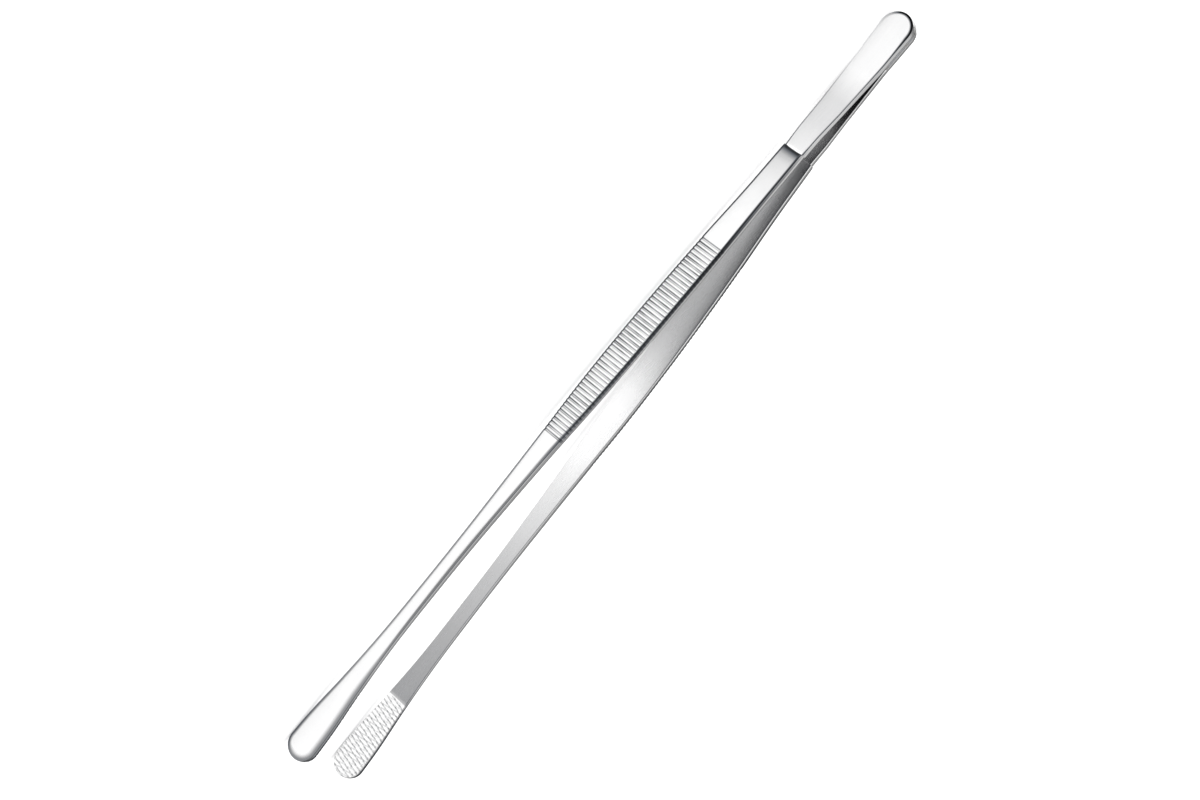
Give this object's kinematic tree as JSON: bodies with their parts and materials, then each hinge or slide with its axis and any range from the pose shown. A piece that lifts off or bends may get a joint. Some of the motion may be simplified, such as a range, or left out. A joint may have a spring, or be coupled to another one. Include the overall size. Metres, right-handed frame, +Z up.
{
  "type": "print tongs",
  "caption": "Long one-hand spring tongs: two steel arms joined at a flat round head, ribbed grip, slim shanks and round serrated tips for lifting wet prints.",
  "frame": {"origin": "on the surface the tongs rest on, below the middle of their bounding box; they lie on the edges of both arms", "axes": "+X from the welded head to the tips, +Y from the front arm to the rear arm, +Z up across the width of the arms"},
  "size_m": [0.3, 0.0316, 0.012],
  "materials": {
    "arm_steel": "polished stainless steel with a fine satin grain",
    "weld_steel": "stainless weld metal, ground flush and polished"
  },
  "bodies": {
    "head": {"front_head_plate": "arm_steel", "rear_head_plate": "arm_steel", "head_weld": "weld_steel"},
    "front_leg": {"front_arm": "arm_steel"},
    "rear_leg": {"rear_arm": "arm_steel"}
  },
  "joints": [
    {"name": "front_arm_flex", "type": "hinge", "parent": "head", "child": "front_leg", "pos_m": [-0.112, -0.00168, 0.006], "axis": [0, 0, 1], "range_deg": [0, 3.01], "stiffness_Nm_per_rad": 19},
    {"name": "rear_arm_flex", "type": "hinge", "parent": "head", "child": "rear_leg", "pos_m": [-0.112, 0.00168, 0.006], "axis": [0, 0, -1], "range_deg": [0, 3.01], "stiffness_Nm_per_rad": 19}
  ]
}
